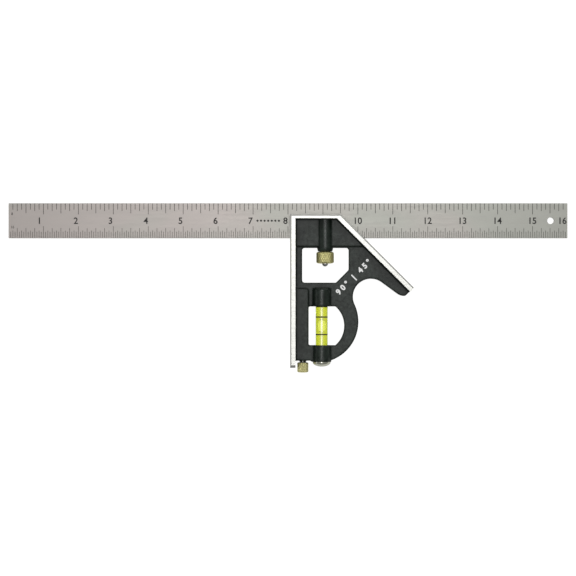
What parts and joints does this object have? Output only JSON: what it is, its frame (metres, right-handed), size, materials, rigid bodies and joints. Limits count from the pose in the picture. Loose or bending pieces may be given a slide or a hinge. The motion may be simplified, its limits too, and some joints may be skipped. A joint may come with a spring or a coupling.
{
  "type": "combination square",
  "caption": "Engineer's combination square: graduated steel blade sliding in a cast head with square and mitre faces, knurled lock nut, spirit level and stored scriber.",
  "frame": {"origin": "where the head's square face meets the blade's lower edge, in the blade's middle plane", "axes": "+X along the blade, into the head from its square face; +Y across the blade, towards the head's top edge; +Z through the head's thickness, out of the front"},
  "size_m": [0.4064, 0.123, 0.019],
  "materials": {
    "head_paint": "satin",
    "blade_steel": "satin",
    "bolt_steel": "satin",
    "spring_steel": "satin",
    "nut_brass": "satin",
    "vial_acrylic": "gloss",
    "vial_spirit": "gloss",
    "vial_air": "gloss",
    "vial_ring": "matte",
    "vial_pad": "matte",
    "cap_nickel": "satin",
    "needle_steel": "gloss",
    "knob_brass": "satin",
    "bush_nylon": "matte"
  },
  "bodies": {
    "head": {"head_casting": "head_paint", "lock_spring": "spring_steel", "vial_tube": "vial_acrylic", "vial_end_plug": "vial_acrylic", "vial_fluid": "vial_spirit", "vial_ring_upper": "vial_ring", "vial_ring_lower": "vial_ring", "vial_pad_upper": "vial_pad", "vial_pad_lower": "vial_pad", "vial_cap": "cap_nickel", "scriber_bush": "bush_nylon"},
    "blade": {"blade": "blade_steel"},
    "lock_bolt": {"lock_bolt": "bolt_steel"},
    "lock_nut": {"lock_nut": "nut_brass"},
    "scriber": {"scriber_needle": "needle_steel", "scriber_knob": "knob_brass"},
    "bubble": {"vial_bubble": "vial_air"}
  },
  "joints": [
    {"name": "blade_slide", "type": "slide", "parent": "head", "child": "blade", "axis": [1, 0, 0], "range_m": [-0.1475, 0.2045]},
    {"name": "nut_turn", "type": "hinge", "parent": "head", "child": "lock_nut", "pos_m": [0.0255, -0.0139, 0], "axis": [0, -1, 0], "range_deg": [0, 360]},
    {"name": "bolt_rise", "type": "slide", "parent": "head", "child": "lock_bolt", "axis": [0, 1, 0], "range_m": [0, 0.0008], "deforming": ["lock_spring"]},
    {"name": "scriber_pull", "type": "slide", "parent": "head", "child": "scriber", "axis": [0, -1, 0], "range_m": [0, 0.049]},
    {"name": "bubble_slide", "type": "slide", "parent": "head", "child": "bubble", "axis": [0, 1, 0], "range_m": [-0.009, 0.009], "deforming": ["vial_fluid"]}
  ],
  "couplings": [
    {"joint": "nut_turn", "follows": "bolt_rise", "rad_per_m": 7854}
  ]
}
